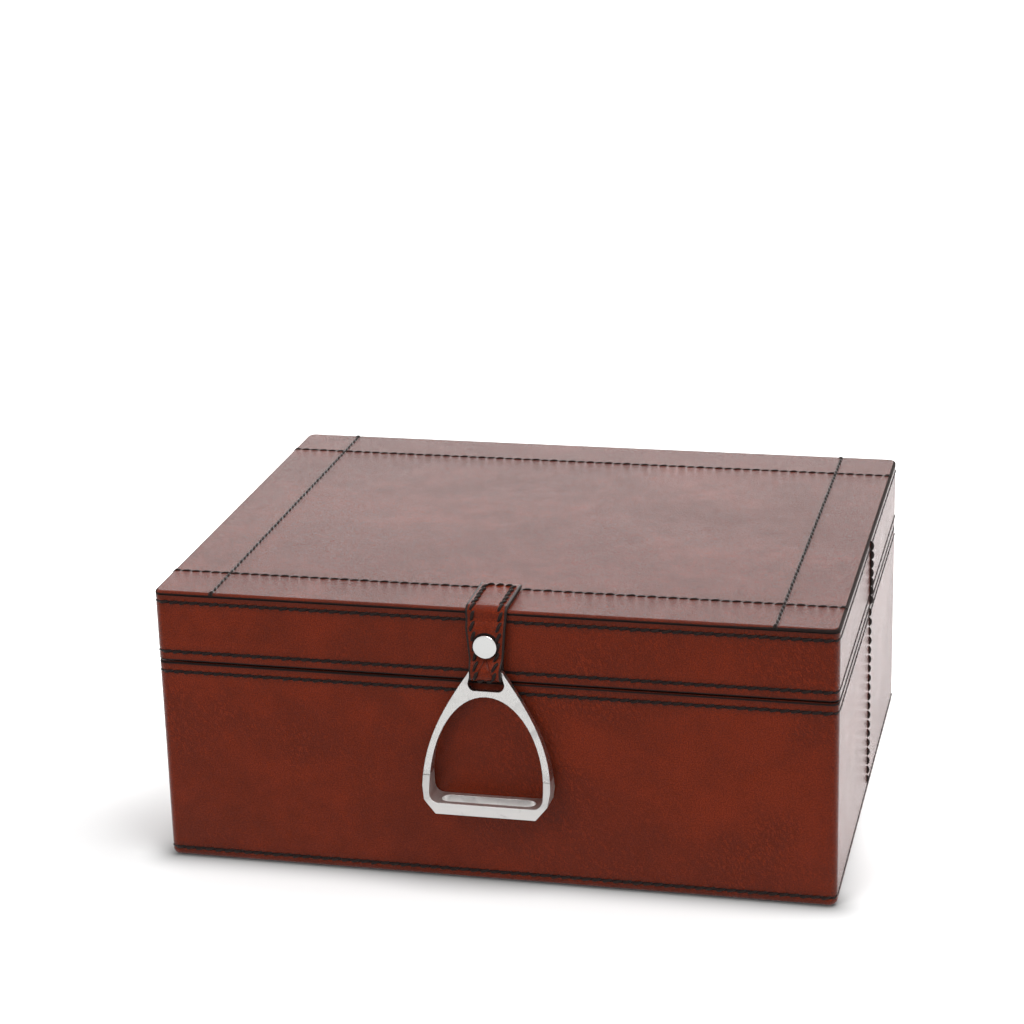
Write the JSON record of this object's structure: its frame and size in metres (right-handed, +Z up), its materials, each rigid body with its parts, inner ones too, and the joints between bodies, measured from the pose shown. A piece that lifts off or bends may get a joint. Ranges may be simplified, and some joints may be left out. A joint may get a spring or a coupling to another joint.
{
  "type": "leather box",
  "caption": "Rectangular leather-covered box for papers and keepsakes, with a hinged lid, contrast-stitched edges and a leather pull strap that carries a metal stirrup ring.",
  "frame": {"origin": "middle of the box's footprint, on the surface that it stands on", "axes": "+X to the right of someone who faces the pull strap, +Y from the pull to the hinges, +Z up"},
  "size_m": [0.36, 0.3013, 0.1553],
  "materials": {
    "box_leather": "chestnut hide, waxed to a soft gloss, with dyed cut edges",
    "rim_leather": "dark brown, satin",
    "wall_board": "plain sanded board",
    "suede_lining": "dark brown suede cloth",
    "base_felt": "black felt",
    "hinge_brass": "satin brass",
    "hinge_pin_steel": "drawn wire",
    "polished_metal": "polished nickel plate with a light brushed look"
  },
  "bodies": {
    "base": {"base_bottom_board": "wall_board", "base_front_board": "wall_board", "base_back_board": "wall_board", "base_left_board": "wall_board", "base_right_board": "wall_board", "base_front_leather": "box_leather", "base_back_leather": "box_leather", "base_rim_leather": "rim_leather", "base_bottom_pad": "base_felt", "base_floor_lining": "suede_lining", "base_wall_lining": "suede_lining", "left_hinge_base_leaf": "hinge_brass", "left_hinge_pin": "hinge_pin_steel", "left_hinge_base_screw_1": "hinge_brass", "left_hinge_base_screw_2": "hinge_brass", "right_hinge_base_leaf": "hinge_brass", "right_hinge_pin": "hinge_pin_steel", "right_hinge_base_screw_1": "hinge_brass", "right_hinge_base_screw_2": "hinge_brass"},
    "lid": {"lid_top_board": "wall_board", "lid_front_board": "wall_board", "lid_back_board": "wall_board", "lid_left_board": "wall_board", "lid_right_board": "wall_board", "lid_top_leather": "box_leather", "lid_front_leather": "box_leather", "lid_back_leather": "box_leather", "lid_rim_leather": "rim_leather", "lid_top_lining": "suede_lining", "lid_wall_lining": "suede_lining", "left_hinge_lid_leaf": "hinge_brass", "left_hinge_lid_screw_1": "hinge_brass", "left_hinge_lid_screw_2": "hinge_brass", "right_hinge_lid_leaf": "hinge_brass", "right_hinge_lid_screw_1": "hinge_brass", "right_hinge_lid_screw_2": "hinge_brass", "pull_strap": "box_leather", "pull_stud": "polished_metal", "stud_burr": "polished_metal"},
    "stirrup": {"stirrup_bow": "polished_metal", "stirrup_tread": "polished_metal"}
  },
  "joints": [
    {"name": "lid_hinge", "type": "hinge", "parent": "base", "child": "lid", "pos_m": [0, 0.1425, 0.1135], "axis": [-1, 0, 0], "range_deg": [0, 100]},
    {"name": "stirrup_swing", "type": "hinge", "parent": "lid", "child": "stirrup", "pos_m": [0, -0.14462, 0.1201], "axis": [-1, 0, 0], "range_deg": [0, 140]}
  ]
}
